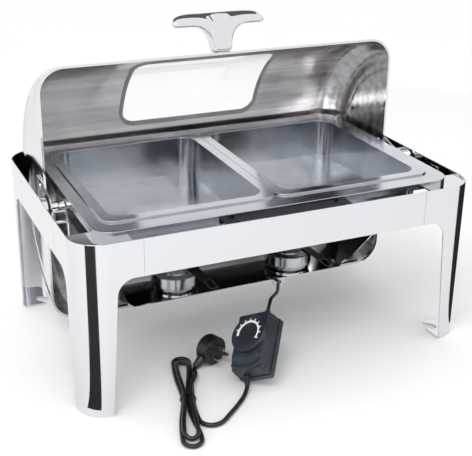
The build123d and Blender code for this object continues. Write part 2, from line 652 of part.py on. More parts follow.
with BuildPart() as controller_front:
    with BuildSketch(CTRL.offset(BACK_H)):
        RectangleRounded(CTRL_W - 3, CTRL_L - 3, 4)
    extrude(amount=CTRL_D - BACK_H)
    with BuildSketch(Plane(origin=CTRL_ORIGIN, x_dir=ALONG, z_dir=SIDE * -1).offset(-50)):
        with BuildLine():
            Polyline((-60, -CTRL_D - 5), (-26, -CTRL_D - 5), (-26, -CTRL_D), (-39, -CTRL_D + 5),
                     (-60, -CTRL_D + 9), close=True)
        make_face()
        with BuildLine():
            Polyline((60, -CTRL_D - 5), (45, -CTRL_D - 5), (45, -CTRL_D), (49.5, -CTRL_D + 4),
                     (60, -CTRL_D + 9), close=True)
        make_face()
    extrude(amount=100, mode=Mode.SUBTRACT)
    with BuildSketch(CTRL.offset(BACK_H)):
        RectangleRounded(CTRL_W - 8, CTRL_L - 8, 2)
    extrude(amount=CTRL_D - BACK_H - 12, mode=Mode.SUBTRACT)
    with BuildSketch(CTRL.offset(20)):
        with Locations((0, 9)):
            Circle(4.2)
    extrude(amount=30, mode=Mode.SUBTRACT)
    with BuildSketch(CTRL.offset(BACK_H)):
        with Locations(*SCREWS):
            Circle(4)
    extrude(amount=CTRL_D - BACK_H - 12)
    with BuildSketch(CTRL.offset(BACK_H)):
        with Locations(*SCREWS):
            Circle(2)
    extrude(amount=14, mode=Mode.SUBTRACT)
controller_front.part.label = "controller_front"
export_step(controller_front.part, "parts/controller_front.step")

with BuildPart() as controller_screws:
    with BuildSketch(CTRL.offset(0.4)):
        with Locations(*SCREWS):
            Circle(1.98)
    extrude(amount=22)
controller_screws.part.label = "controller_screws"
export_step(controller_screws.part, "parts/controller_screws.step")

with BuildPart() as thermostat:
    with BuildSketch(CTRL.offset(4)):
        with Locations((0, 9)):
            RectangleRounded(34, 38, 3)
    extrude(amount=17)
    with BuildSketch(CTRL.offset(21)):
        with Locations((0, 9)):
            Circle(3)
    extrude(amount=22)
thermostat.part.label = "thermostat"
export_step(thermostat.part, "parts/thermostat.step")

with BuildPart() as dial_knob:
    with BuildSketch(CTRL.offset(CTRL_D + 0.4)):
        with Locations((0, 9)):
            Circle(30.5)
    extrude(amount=6.4)
    fillet(dial_knob.faces().sort_by(Axis(CTRL_ORIGIN, FACE_OUT))[-1].edges(), 1.6)
    with BuildSketch(CTRL.offset(CTRL_D - 1)):
        with Locations((0, 9)):
            Circle(3.05)
    extrude(amount=6.2, mode=Mode.SUBTRACT)
dial_knob.part.label = "dial_knob"
export_step(dial_knob.part, "parts/dial_knob.step")

LEAD_END = on_controller(12, CTRL_L / 2 + 9.5, 22)
CORD_START = on_controller(-10, -CTRL_L / 2 - 11.5, 11)
with BuildPart() as controller_lead_gland:
    with BuildSketch(Plane(origin=on_controller(12, CTRL_L / 2 - 1.5, 22), z_dir=ALONG)):
        Circle(5.2)
    with BuildSketch(Plane(origin=LEAD_END, z_dir=ALONG)):
        Circle(3.6)
    loft()
controller_lead_gland.part.label = "controller_lead_gland"
export_step(controller_lead_gland.part, "parts/controller_lead_gland.step")

with BuildPart() as controller_cord_gland:
    with BuildSketch(Plane(origin=on_controller(-10, 1.5 - CTRL_L / 2, 16), z_dir=ALONG * -1)):
        Circle(5.4)
    with BuildSketch(Plane(origin=CORD_START, z_dir=ALONG * -1)):
        Circle(4.0)
    loft()
controller_cord_gland.part.label = "controller_cord_gland"
export_step(controller_cord_gland.part, "parts/controller_cord_gland.step")


# ---- flexible lead and cord: straight runs joined by tangent arcs --------------------------------
def arc_radii(points, name):
    """Largest arc for each corner: 0.45 of the shorter run over the tangent of half the turn."""
    out = []
    for before, here, after in zip(points, points[1:], points[2:]):
        run_in = here - before
        run_out = after - here
        half = radians(run_in.get_angle(run_out) / 2)
        out.append(0.45 * min(run_in.length, run_out.length) / tan(half))
    print(name, "radii", [round(r, 1) for r in out])
    return out


LEAD_ROUTE = [Vector(95, 66, 138), Vector(95, 66, 117), Vector(95, 64.6, 96), Vector(94.4, 57.5, 77.5),
              Vector(92, 43, 65.2), Vector(87, 23.5, 60.2), Vector(81, 3.5, 59.4), Vector(75.5, -16, 60.6),
              Vector(70, -36, 64.4), Vector(61, -56, 70), Vector(50, -75.5, 75), Vector(38, -93.5, 79.6),
              Vector(25.5, -111, 85.2), Vector(12, -128.5, 92), LEAD_END + ALONG * 20, LEAD_END]
with BuildPart() as heater_lead:
    with BuildLine() as lead_path:
        FilletPolyline(*LEAD_ROUTE, radius=arc_radii(LEAD_ROUTE, "heater_lead"))
    with BuildSketch(Plane(origin=LEAD_ROUTE[0], z_dir=LEAD_ROUTE[1] - LEAD_ROUTE[0])):
        Circle(LEAD_R)
    sweep()
heater_lead.part.label = "heater_lead"
export_step(heater_lead.part, "parts/heater_lead.step")
print("heater_lead volume / section x length", heater_lead.part.volume / (3.14159265 * LEAD_R ** 2
      * sum(e.length for e in lead_path.edges())))

CLIP_AT = (LEAD_ROUTE[7] + LEAD_ROUTE[8]) / 2
with BuildPart() as lead_clip:
    with Locations((CLIP_AT.X - 2, -33.5, 63.9)):
        Box(20, 8, 12)
    with BuildSketch(Plane(origin=CLIP_AT, z_dir=LEAD_ROUTE[8] - LEAD_ROUTE[7])):
        Circle(LEAD_R + 1.1)
    extrude(amount=30, both=True, mode=Mode.SUBTRACT)
lead_clip.part.label = "lead_clip"
export_step(lead_clip.part, "parts/lead_clip.step")

CORD_ROUTE = [CORD_START, CORD_START - ALONG * 10.5, Vector(-91.5, -245.5, 3.5), Vector(-107.5, -260.5, 3.4),
              Vector(-126, -275.5, 3.4), Vector(-142.5, -290.5, 3.4), Vector(-155.2, -293.2, 3.4),
              Vector(-167.1, -289.3, 3.4), Vector(-174.5, -281.2, 3.4)]
with BuildPart() as supply_cord:
    with BuildLine() as cord_path:
        FilletPolyline(*CORD_ROUTE, radius=arc_radii(CORD_ROUTE, "supply_cord"))
    with BuildSketch(Plane(origin=CORD_ROUTE[0], z_dir=CORD_ROUTE[1] - CORD_ROUTE[0])):
        Circle(CORD_R)
    sweep()
supply_cord.part.label = "supply_cord"
export_step(supply_cord.part, "parts/supply_cord.step")
print("supply_cord volume / section x length", supply_cord.part.volume / (3.14159265 * CORD_R ** 2
      * sum(e.length for e in cord_path.edges())))

# tied hank of spare cord: one closed solid of its outer shape, a long figure of eight
HANK = Plane(origin=(-166, -216, 0), x_dir=(0.31, 0.951, 0), z_dir=(0, 0, 1))
with BuildPart() as cord_hank:
    with BuildSketch(HANK):
        with BuildLine():
            Spline((-120, 1.5), (-103, -11.5), (-80, -16), (-52, -15.5), (-20, -11), (0, -10), (35, -12.5),
                   (72, -11.5), (106, -8), (119.5, 1.5), (113, 13), (85, 19.5), (40, 17), (0, 10),
                   (-28, 14.5), (-66, 17.5), (-100, 14), periodic=True)
        make_face()
    extrude(amount=13)
cord_hank.part.label = "cord_hank"
export_step(cord_hank.part, "parts/cord_hank.step")

with BuildPart() as cable_tie:
    with BuildSketch(HANK * Plane(origin=(-2, 0, 0), x_dir=(0, 1, 0), z_dir=(1, 0, 0))):
        with Locations((0, 7.4)):
            Rectangle(25, 14.8)
        with Locations((0, 6.6)):
            Rectangle(22, 13.2, mode=Mode.SUBTRACT)
        with Locations((6, 16.6)):
            Rectangle(7, 3.6)
    extrude(amount=4)
cable_tie.part.label = "cable_tie"
export_step(cable_tie.part, "parts/cable_tie.step")

# plug: a round body resting on its rim, its tail running down to the table
PLUG_C = Vector(-90, -140, 23)
PLUG_N = Vector(0.38, -0.925, 0).normalized()
PLUG_T = Vector(-0.815, -0.335, -0.47).normalized()
PLUG = Plane(origin=PLUG_C, x_dir=(0.925, 0.38, 0), z_dir=PLUG_N)
with BuildPart() as plug_body:
    with BuildSketch(PLUG.offset(-24)):
        Circle(22.5)
    extrude(amount=24)
    fillet(plug_body.faces().sort_by(Axis(PLUG_C, PLUG_N))[0].edges(), 7)
    fillet(plug_body.faces().sort_by(Axis(PLUG_C, PLUG_N))[-1].edges(), 1.5)
    with BuildSketch(Plane(origin=PLUG_C - PLUG_N * 12 + PLUG_T * 15, z_dir=PLUG_T)):
        Circle(9.5)
    with BuildSketch(Plane(origin=PLUG_C - PLUG_N * 12 + PLUG_T * 37, z_dir=PLUG_T)):
        Circle(4.6)
    loft()
plug_body.part.label = "plug_body"
export_step(plug_body.part, "parts/plug_body.step")

with BuildPart() as plug_pins:
    with BuildSketch(PLUG):
        with Locations((-9.5, -4), (9.5, -4)):
            Rectangle(6, 2.4)
        with Locations((0, 9)):
            Rectangle(2.6, 7)
    extrude(amount=17)
plug_pins.part.label = "plug_pins"
export_step(plug_pins.part, "parts/plug_pins.step")

TAIL_END = PLUG_C - PLUG_N * 12 + PLUG_T * 37
with BuildPart() as plug_cord:
    with BuildLine() as plug_path:
        Line(TAIL_END, (-131.5, -148.5, 4.2))
    with BuildSketch(Plane(origin=TAIL_END, z_dir=Vector(-131.5, -148.5, 4.2) - TAIL_END)):
        Circle(CORD_R)
    sweep()
plug_cord.part.label = "plug_cord"
export_step(plug_cord.part, "parts/plug_cord.step")
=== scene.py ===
# %% [markdown]
# Roll top chafer.
# A polished steel stand carries a water pan, two food pans and two burner cups. The lid is a shell that
# rolls about pins at both ends. An electric heater hangs its lead, controller, cord and plug in front.
# The hard parts come in from the CAD frame at their true size. Here they get their finishes, and the
# flexible lead and cord, the printed dial and small dressings are made as new pieces.

# %% Load the frame
import json
import math

import bmesh
import bpy
from mathutils import Matrix, Vector


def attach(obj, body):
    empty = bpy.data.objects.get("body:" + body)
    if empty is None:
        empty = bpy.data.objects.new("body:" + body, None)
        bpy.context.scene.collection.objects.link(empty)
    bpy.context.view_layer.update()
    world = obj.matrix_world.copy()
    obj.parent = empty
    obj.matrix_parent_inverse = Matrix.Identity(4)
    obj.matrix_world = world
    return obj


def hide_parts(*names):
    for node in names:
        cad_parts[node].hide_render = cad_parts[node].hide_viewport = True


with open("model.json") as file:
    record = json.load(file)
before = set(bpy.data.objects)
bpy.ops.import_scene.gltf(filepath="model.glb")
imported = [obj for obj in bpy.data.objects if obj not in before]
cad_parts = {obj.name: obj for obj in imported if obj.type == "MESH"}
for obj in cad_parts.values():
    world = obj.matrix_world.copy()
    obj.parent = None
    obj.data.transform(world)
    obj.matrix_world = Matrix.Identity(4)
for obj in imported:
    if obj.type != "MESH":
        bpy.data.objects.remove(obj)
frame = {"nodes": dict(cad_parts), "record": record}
bpy.context.view_layer.update()

# %% [markdown]
# The camera stands a little to the left and above, as a guest at the buffet would. Three unit vectors
# say where its right, its top and its back point, which is easier to read than three turns.

# %% Camera
view = bpy.data.objects.new("buffet_view", bpy.data.cameras.new("buffet_view"))
bpy.context.collection.objects.link(view)
right = Vector((0.90891, -0.41675, 0.01432))
top = Vector((0.14722, 0.35284, 0.92403))
back = Vector((-0.39015, -0.83775, 0.38205))
stand_point = Vector((-0.59350, -1.30768, 0.77718))
view.matrix_world = Matrix([[right[i], top[i], back[i], stand_point[i]] for i in range(3)] + [[0, 0, 0, 1]])
view.data.sensor_width = 36
view.data.lens = 72.58
view.data.shift_x = -0.0119
view.data.shift_y = -0.0288
view.data.clip_end = 60
bpy.context.scene.camera = view
bpy.context.scene.view_settings.view_transform = "Standard"
print("camera", [round(v, 3) for v in view.location], "lens", view.data.lens)

# %% [markdown]
# The controller leans on one corner, so its own frame is tilted. Three directions describe it:
# across its face, along it towards the lead, and straight out of its face.

# %% The controller's own frame
face_out = Vector((-0.67505, -0.05952, 0.73537)).normalized()
across = Vector((0.54065, -0.71812, 0.43818))
across = (across - face_out * across.dot(face_out)).normalized()
along = face_out.cross(across)
dial_middle = 9
controller_foot = Vector((-0.073, -0.2036, -0.0012))
controller_at = controller_foot + across * 0.029 + along * 0.0485


def on_controller(x, y, z):
    """A point x mm across, y mm towards the lead and z mm out of the controller's back."""
    return controller_at + (across * x + along * y + face_out * z) / 1000


lead_end = on_controller(12, 58, 22)
cord_start = on_controller(-10, -60, 11)
print("lead ends", [round(v, 4) for v in lead_end], "cord starts", [round(v, 4) for v in cord_start])

# %% [markdown]
# A mains lead is one smooth line. A NURBS spline through a handful of points bends as a real lead
# does, and a round bevel gives it its thickness. The order is set once the points are there.

# %% A helper for the lead and the cord


def flexible(name, points, diameter):
    """A round flexible lead as one open NURBS spline. Points are in millimetres."""
    shape = bpy.data.curves.new(name, "CURVE")
    shape.dimensions = "3D"
    line = shape.splines.new("NURBS")
    line.points.add(len(points) - 1)
    for dot, place in zip(line.points, points):
        dot.co = (place[0] / 1000, place[1] / 1000, place[2] / 1000, 1)
    line.order_u = 3
    line.use_endpoint_u = True
    line.resolution_u = 10
    shape.bevel_depth = diameter / 2000
    shape.bevel_resolution = 5
    shape.use_fill_caps = True
    piece = bpy.data.objects.new(name, shape)
    bpy.context.collection.objects.link(piece)
    return piece


def line_length(piece):
    """The length of a curve's centre line in metres."""
    bare = piece.data.copy()
    bare.bevel_depth = 0
    carrier = bpy.data.objects.new("measure", bare)
    mesh = bpy.data.meshes.new_from_object(carrier)
    total = sum((mesh.vertices[e.vertices[0]].co - mesh.vertices[e.vertices[1]].co).length for e in mesh.edges)
    bpy.data.objects.remove(carrier)
    return total


# %% [markdown]
# The heater's lead drops behind the right burner, runs under the shelf, comes out through a clip on
# the shelf's front edge and bends over to the upper end of the controller.

# %% Heater lead
lead_route = [(95, 66, 138), (95, 66, 117), (95, 64.6, 96), (94.4, 57.5, 77.5), (92, 43, 65.2),
              (87, 23.5, 60.2), (81, 3.5, 59.4), (75.5, -16, 60.6), (70, -36, 64.4), (58, -56, 70.3),
              (47.5, -75.5, 75.2), (38, -93.5, 79.6), (25.5, -111, 85.2), (12, -128.5, 92),
              tuple((lead_end + along * 0.020) * 1000), tuple(lead_end * 1000)]
lead = flexible("lead", lead_route, 5.5)
print("lead length", round(line_length(lead), 4))

# %% [markdown]
# The supply cord leaves the lower end of the controller, meets the table and curves round into a
# tied hank: long loops that are pinched at the tie and fan out at both ends. The second loop lies
# on the first and is a little smaller, and its tips sag to the table. The cord passes the tie once
# more and runs out beside the loops to the plug.

# %% Supply cord with its tied hank
hank_at = Vector((-166, -216, 0))
hank_along = Vector((0.31, 0.951, 0))
hank_across = Vector((0.951, -0.31, 0))
hank_loops = [(-44, 10.5, 3.4), (-25, 8, 3.4), (0, 6.7, 3.4), (25, 7.6, 3.4), (50, 8.2, 3.4),
              (76, 8, 3.4), (94, 8, 3.4), (105.1, 8, 3.4), (112.4, 0.7, 3.4), (112.4, -9.5, 3.4),
              (105.1, -16.8, 3.4), (94, -16.8, 3.4), (78, -16.6, 3.4), (53, -14.5, 3.4),
              (25, -10, 3.4), (0, -6.7, 3.4), (-25, -9, 3.4), (-50, -12.5, 3.4), (-75, -13.6, 3.4),
              (-94.6, -13.4, 3.4), (-105.8, -12.6, 3.4), (-113.4, -5.2, 3.4), (-113.4, 5.4, 3.4),
              (-105.6, 12.8, 3.4), (-92, 13, 3.4), (-76, 10, 3.4), (-58, 5, 3.4), (-40, 2, 3.4),
              (-20, 0.5, 3.4), (0, 0, 3.4), (20, 0.8, 3.5), (38, 2.2, 5), (52, 4, 7.6),
              (66, 5.2, 9.2), (80, 5.4, 9.2), (91.6, 5.2, 8.4), (96.6, 0.2, 5), (96.6, -7, 5),
              (91.6, -12, 8.4), (80, -12.4, 9.3), (60, -11.2, 9.4), (30, -7.5, 9.3), (0, -4, 9.2),
              (-30, -6.8, 9.4), (-60, -10.2, 9.4), (-83.7, -10.8, 8.8), (-92.4, -10.4, 8.2),
              (-98.5, -4.6, 5), (-98.5, 3.8, 5), (-92.4, 9.2, 8), (-80, 8.8, 9.6), (-60, 7, 9.6),
              (-30, 5, 9.4), (0, 4, 9.2), (22, 5.6, 9.3), (38, 9, 9.5), (50, 13, 8), (60, 15.2, 5),
              (70, 15.4, 3.5), (80.5, 14.2, 3.6)]
plug_in = Vector((-0.815, -0.335, -0.47)).normalized()
plug_out = Vector((0.38, -0.925, 0)).normalized()
plug_face = Vector((-90, -140, 23))
tail_end = plug_face - plug_out * 12 + plug_in * 37
cord_route = [tuple(cord_start * 1000), tuple((cord_start - along * 0.0105) * 1000), (-91.5, -245.5, 3.5),
              (-107.5, -260.5, 3.4), (-126, -275.5, 3.4), (-141.5, -288.5, 3.4), (-154.5, -291.5, 3.4),
              (-166, -286.5, 3.4), (-171.5, -275.5, 3.4)]
for far, side, high in hank_loops:
    cord_route.append(tuple(hank_at + hank_along * far + hank_across * side + Vector((0, 0, high))))
cord_route.append(tuple(tail_end))
cord = flexible("cord", cord_route, 6.5)
print("cord length", round(line_length(cord), 4), "tail end", [round(v, 1) for v in tail_end])

# %% [markdown]
# Colours are written as sRGB hex, the way a paint chart gives them. Blender mixes light in linear
# values, so one function turns each hex code into the linear colour that a shader wants. One more
# helper adds a node with its settings and its links, so each finish reads as a short list. Noise
# seldom leaves the range from 0.3 to 0.7, so a pattern is stretched from there to the values wanted.

# %% Colour and node helpers
MM = 0.001
STRETCH = {"From Min": 0.3, "From Max": 0.7}


def linear(code):
    """A hex colour as the linear red, green, blue and alpha that shaders use."""
    parts = [int(code[i:i + 2], 16) / 255 for i in (1, 3, 5)]
    return tuple(p / 12.92 if p <= 0.04045 else ((p + 0.055) / 1.055) ** 2.4 for p in parts) + (1.0,)


def put(tree, kind, settings, sockets):
    """Add one node. Sockets hold a plain value or the output of another node."""
    made = tree.nodes.new(kind)
    for key, value in settings.items():
        setattr(made, key, value)
    for key, value in sockets.items():
        if isinstance(value, bpy.types.NodeSocket):
            tree.links.new(value, made.inputs[key])
        else:
            made.inputs[key].default_value = value
    return made


def new_finish(name, code, metallic, roughness):
    """A material with its base values set on the shader's own sockets."""
    stuff = bpy.data.materials.new(name)
    stuff.use_nodes = True
    shader = stuff.node_tree.nodes["Principled BSDF"]
    shader.inputs["Base Color"].default_value = linear(code)
    shader.inputs["Metallic"].default_value = metallic
    shader.inputs["Roughness"].default_value = roughness
    return stuff, stuff.node_tree, shader


print("mid grey in linear light", [round(v, 3) for v in linear("#808080")])

# %% [markdown]
# Mirror polished stainless steel. The stand's 2 mm sheet is buffed until it works as a mirror, so
# what the eye sees is the room. Two things give away the metal: pressed sheet is never quite flat,
# so reflections swim a little, and buffing leaves a faint haze in patches. A broad, shallow bump does
# the first and a slow change of roughness does the second.

# %% Polished stand steel


def grain(tree, size_mm, stretch, detail):
    """Noise whose blotches are about size_mm wide, drawn out along an axis where asked."""
    where = put(tree, "ShaderNodeTexCoord", {}, {})
    spread = put(tree, "ShaderNodeMapping", {}, {"Vector": where.outputs["Object"], "Scale": stretch})
    return put(tree, "ShaderNodeTexNoise", {}, {"Vector": spread.outputs["Vector"], "Scale": 1000 / size_mm,
                                                "Detail": detail, "Roughness": 0.5})


stand_steel, tree, shader = new_finish("mirror_polished_stainless", "#DADBDE", 1.0, 0.07)
haze = grain(tree, 45, (1, 1, 1), 3)
rough = put(tree, "ShaderNodeMapRange", {}, {**STRETCH, "Value": haze.outputs["Fac"],
                                             "To Min": 0.045, "To Max": 0.11})
tree.links.new(rough.outputs["Result"], shader.inputs["Roughness"])
swim = grain(tree, 130, (1, 1, 0.5), 0)
bump = put(tree, "ShaderNodeBump", {}, {"Height": swim.outputs["Fac"], "Distance": 0.5 * MM, "Strength": 0.35})
tree.links.new(bump.outputs["Normal"], shader.inputs["Normal"])
print("stand finish", stand_steel.name)

# %% [markdown]
# Satin stainless steel. Food and water pans are drawn from bright sheet and left a little matt, so
# they throw back soft light rather than a picture. Drawing the sheet leaves a fine, even grain.

# %% Satin pan steel
pan_steel, tree, shader = new_finish("satin_drawn_stainless", "#C6C9CE", 1.0, 0.15)
cloud = grain(tree, 60, (1, 1, 1), 4)
rough = put(tree, "ShaderNodeMapRange", {}, {**STRETCH, "Value": cloud.outputs["Fac"],
                                             "To Min": 0.10, "To Max": 0.20})
tree.links.new(rough.outputs["Result"], shader.inputs["Roughness"])
tint = put(tree, "ShaderNodeMix", {"data_type": "RGBA"}, {"Factor": cloud.outputs["Fac"], 6: linear("#B4B8BF"),
                                                          7: linear("#D9DBDF")})
tree.links.new(tint.outputs[2], shader.inputs["Base Color"])
fine = grain(tree, 2.5, (1, 1, 1), 2)
bump = put(tree, "ShaderNodeBump", {}, {"Height": fine.outputs["Fac"], "Distance": 0.02 * MM, "Strength": 0.3})
tree.links.new(bump.outputs["Normal"], shader.inputs["Normal"])
print("pan finish", pan_steel.name)

# %% [markdown]
# The lid is one sheet with two faces. Outside it is polished like the stand. Inside it keeps the
# long satin lines of the rolling mill, so the light smears into horizontal streaks, and slow warm
# patches in its colour are a painted reflection of the food.
# The sheet wraps round its hinge line, so the sign of "position from the hinge line times surface
# direction" tells outside from inside, and one material can hold both.

# %% Lid steel, polished outside and satin inside
lid_steel, tree, shader = new_finish("rolled_stainless_lid", "#D6D6D8", 1.0, 0.10)
spot = put(tree, "ShaderNodeTexCoord", {}, {})
arm = put(tree, "ShaderNodeVectorMath", {"operation": "SUBTRACT"}, {
    0: spot.outputs["Object"], 1: (0, 0, 0.241)})
facing = put(tree, "ShaderNodeVectorMath", {"operation": "DOT_PRODUCT"}, {0: arm.outputs["Vector"],
                                                                        1: spot.outputs["Normal"]})
inside = put(tree, "ShaderNodeMath", {"operation": "LESS_THAN"}, {0: facing.outputs["Value"], 1: -0.005})
streaks = grain(tree, 16, (0.05, 1, 1), 4)
# slow warm patches along the lid's length: a painted reflection of food, multiplied into the inside colour
painted_food_reflection = grain(tree, 150, (0.35, 1, 1), 3)
streak_share = put(tree, "ShaderNodeMapRange", {}, {**STRETCH, "Value": streaks.outputs["Fac"],
                                                    "To Min": 0, "To Max": 1})
streak_tint = put(tree, "ShaderNodeMix", {"data_type": "RGBA"}, {
    "Factor": streak_share.outputs["Result"], 6: linear("#D0CDCC"), 7: linear("#FAFAFA")})
food_reflection_share = put(tree, "ShaderNodeMapRange", {}, {**STRETCH, "Value": painted_food_reflection.outputs["Fac"],
                                                  "To Min": 0.0, "To Max": 0.35})
tint_with_food_reflection = put(tree, "ShaderNodeMix", {"data_type": "RGBA", "blend_type": "MULTIPLY"}, {
    "Factor": food_reflection_share.outputs["Result"], 6: streak_tint.outputs[2], 7: linear("#E0D6D2")})
apart = put(tree, "ShaderNodeSeparateXYZ", {}, {"Vector": arm.outputs["Vector"]})
reach = put(tree, "ShaderNodeVectorMath", {"operation": "MULTIPLY"}, {0: arm.outputs["Vector"], 1: (0, 1, 1)})
radius = put(tree, "ShaderNodeVectorMath", {"operation": "LENGTH"}, {0: reach.outputs["Vector"]})
end_on = put(tree, "ShaderNodeMath", {"operation": "ABSOLUTE"}, {0: apart.outputs["X"]})
near_end = put(tree, "ShaderNodeMapRange", {"interpolation_type": "SMOOTHSTEP"}, {
    "Value": end_on.outputs["Value"], "From Min": 0.268, "From Max": 0.292})
rings = put(tree, "ShaderNodeMapRange", {}, {
    "Value": radius.outputs["Value"], "From Min": 0.150, "From Max": 0.206, "To Min": 0.0, "To Max": 9.0})
wave = put(tree, "ShaderNodeMath", {"operation": "SINE"}, {0: rings.outputs["Result"]})
arcs = put(tree, "ShaderNodeMath", {"operation": "MULTIPLY"}, {0: wave.outputs["Value"],
                                                             1: near_end.outputs["Result"]})
both_tint = put(tree, "ShaderNodeMix", {"data_type": "RGBA"}, {
    "Factor": inside.outputs["Value"], 6: linear("#D6D6D8"), 7: tint_with_food_reflection.outputs[2]})
tree.links.new(both_tint.outputs[2], shader.inputs["Base Color"])
inside_rough = put(tree, "ShaderNodeMapRange", {}, {**STRETCH, "Value": streaks.outputs["Fac"],
                                                    "To Min": 0.16, "To Max": 0.27})
both_rough = put(tree, "ShaderNodeMix", {"data_type": "FLOAT"}, {
    "Factor": inside.outputs["Value"], 2: 0.09, 3: inside_rough.outputs["Result"]})
tree.links.new(both_rough.outputs[0], shader.inputs["Roughness"])
grooves = put(tree, "ShaderNodeBump", {}, {
    "Height": streaks.outputs["Fac"], "Distance": 0.10 * MM, "Strength": 0.25})
pressed = put(tree, "ShaderNodeBump", {}, {"Height": arcs.outputs["Value"], "Distance": 0.0022, "Strength": 0.8,
                                           "Normal": grooves.outputs["Normal"]})
tree.links.new(pressed.outputs["Normal"], shader.inputs["Normal"])
print("lid finish", lid_steel.name)

# %% [markdown]
# Plated screws and pins, and the heater's plate of cast aluminium. Zinc and nickel plate is bright
# but slightly clouded. Cast aluminium has a matt grey skin with small grain.

# %% Plated steel and cast aluminium
plated_steel, tree, shader = new_finish("nickel_plated_steel", "#D2CFC8", 1.0, 0.22)
bloom = grain(tree, 3, (1, 1, 1), 3)
rough = put(tree, "ShaderNodeMapRange", {}, {**STRETCH, "Value": bloom.outputs["Fac"],
                                             "To Min": 0.15, "To Max": 0.32})
tree.links.new(rough.outputs["Result"], shader.inputs["Roughness"])
heater_cast, tree, shader = new_finish("cast_aluminium_plate", "#9C9FA3", 1.0, 0.45)
skin = grain(tree, 2, (1, 1, 1), 4)
rough = put(tree, "ShaderNodeMapRange", {}, {**STRETCH, "Value": skin.outputs["Fac"],
                                             "To Min": 0.38, "To Max": 0.6})
tree.links.new(rough.outputs["Result"], shader.inputs["Roughness"])
bump = put(tree, "ShaderNodeBump", {}, {"Height": skin.outputs["Fac"], "Distance": 0.08 * MM, "Strength": 0.5})
tree.links.new(bump.outputs["Normal"], shader.inputs["Normal"])
print("small metal finishes", plated_steel.name, heater_cast.name)

# %% [markdown]
# Moulded black plastics and rubber. The controller is ABS from a mould with a fine spark-eroded
# skin, a very dark slate blue that goes grey where light rakes it. The cord is soft PVC, smoother
# and shinier. The bumpers and gasket are rubber, dull with a dry bloom.

# %% Plastics and rubber


def moulded(name, code, light_code, roughness, grain_mm, depth_mm, ior):
    """A dark moulded surface with a fine grain and slow patches of a lighter tone."""
    stuff, tree, shader = new_finish(name, code, 0.0, roughness)
    shader.inputs["IOR"].default_value = ior
    patch = grain(tree, 35, (1, 1, 1), 3)
    patch_share = put(tree, "ShaderNodeMapRange", {}, {**STRETCH, "Value": patch.outputs["Fac"],
                                                       "To Min": 0, "To Max": 1})
    tone = put(tree, "ShaderNodeMix", {"data_type": "RGBA"}, {
        "Factor": patch_share.outputs["Result"], 6: linear(code), 7: linear(light_code)})
    tree.links.new(tone.outputs[2], shader.inputs["Base Color"])
    rough = put(tree, "ShaderNodeMapRange", {}, {**STRETCH, "Value": patch.outputs["Fac"],
                                                 "To Min": roughness - 0.06, "To Max": roughness + 0.06})
    tree.links.new(rough.outputs["Result"], shader.inputs["Roughness"])
    spark = grain(tree, grain_mm, (1, 1, 1), 2)
    bump = put(tree, "ShaderNodeBump", {}, {
        "Height": spark.outputs["Fac"], "Distance": depth_mm * MM, "Strength": 0.6})
    tree.links.new(bump.outputs["Normal"], shader.inputs["Normal"])
    return stuff


case_plastic = moulded("spark_textured_abs", "#1C242B", "#28323A", 0.46, 0.9, 0.04, 1.53)
inner_plastic = moulded("moulded_phenolic", "#2A2624", "#332E2B", 0.5, 1.2, 0.03, 1.6)
cord_pvc = moulded("extruded_black_pvc", "#0D0E10", "#15171A", 0.38, 1.5, 0.02, 1.53)
dull_rubber = moulded("moulded_black_rubber", "#141414", "#1E1E1D", 0.72, 0.8, 0.05, 1.52)
grey_silicone = moulded("translucent_silicone", "#8E9092", "#A6A8AA", 0.42, 1.5, 0.02, 1.41)
strap_enamel = moulded("baked_black_enamel", "#17181A", "#222427", 0.33, 2.0, 0.03, 1.5)
# near-black matt colour for the rest ledge: painted shade standing in for the dark inside of the stand
ledge_painted_shade = moulded("near_black_painted_shade", "#08080A", "#0E0E10", 0.6, 2.0, 0.03, 1.5)
print("plastics", case_plastic.name, cord_pvc.name, dull_rubber.name)

# %% [markdown]
# The window is tempered glass: clear, colourless, hard and smooth. It is so clear that the eye finds
# it by its gasket and by what it mirrors. A very small roughness change, as a wiping cloth leaves,
# keeps it from looking like an empty hole.

# %% Window glass
window_glass, tree, shader = new_finish("tempered_clear_glass", "#FFFFFF", 0.0, 0.0)
shader.inputs["Transmission Weight"].default_value = 1.0
shader.inputs["IOR"].default_value = 1.5
wipe = grain(tree, 50, (1, 1, 1), 2)
rough = put(tree, "ShaderNodeMapRange", {}, {**STRETCH, "Value": wipe.outputs["Fac"],
                                             "To Min": 0.0, "To Max": 0.015})
tree.links.new(rough.outputs["Result"], shader.inputs["Roughness"])
print("window", window_glass.name)

# %% [markdown]
# Each hard part keeps its CAD shape and takes the finish of its slot. The record lists which slot
# each part uses, so the finishes are given out from that list and no part can be forgotten.

# %% Give the finishes out
finishes = {"polished_steel": stand_steel, "pan_steel": pan_steel, "lid_steel": lid_steel,
            "black_rubber": dull_rubber, "grey_gasket": grey_silicone, "black_strap": strap_enamel,
            "cord_black": cord_pvc,
            "controller_plastic": case_plastic, "inner_plastic": inner_plastic, "plated_steel": plated_steel,
            "heater_aluminium": heater_cast, "clear_window": window_glass}
for part in frame["record"]["subparts"]:
    for place in frame["nodes"][part["node"]].material_slots:
        place.material = finishes[part["material_slot"]]
# the lid rim takes the polished stand steel, and the rest ledge takes the near-black painted shade
for node, stuff in (("lid_rim", stand_steel), ("rest_ledge", ledge_painted_shade)):
    for place in frame["nodes"][node].material_slots:
        place.material = stuff

# %% [markdown]
# The room. A pale table runs out to a white room, which lights everything softly. Polished steel
# only shows its shape when there is something dark to reflect. A studio stylist lays black
# cards on the table, fanning out from a polished leg, and each one stands in that leg as a clean
# black stripe. Cards are hidden from the camera and from soft light, so only reflections see them.

# %% Table, room light and cards
room = bpy.data.worlds.new("white_room")
bpy.context.scene.world = room
room.use_nodes = True
room.node_tree.nodes["Background"].inputs["Color"].default_value = linear("#FFFFFF")
room.node_tree.nodes["Background"].inputs["Strength"].default_value = 1.08


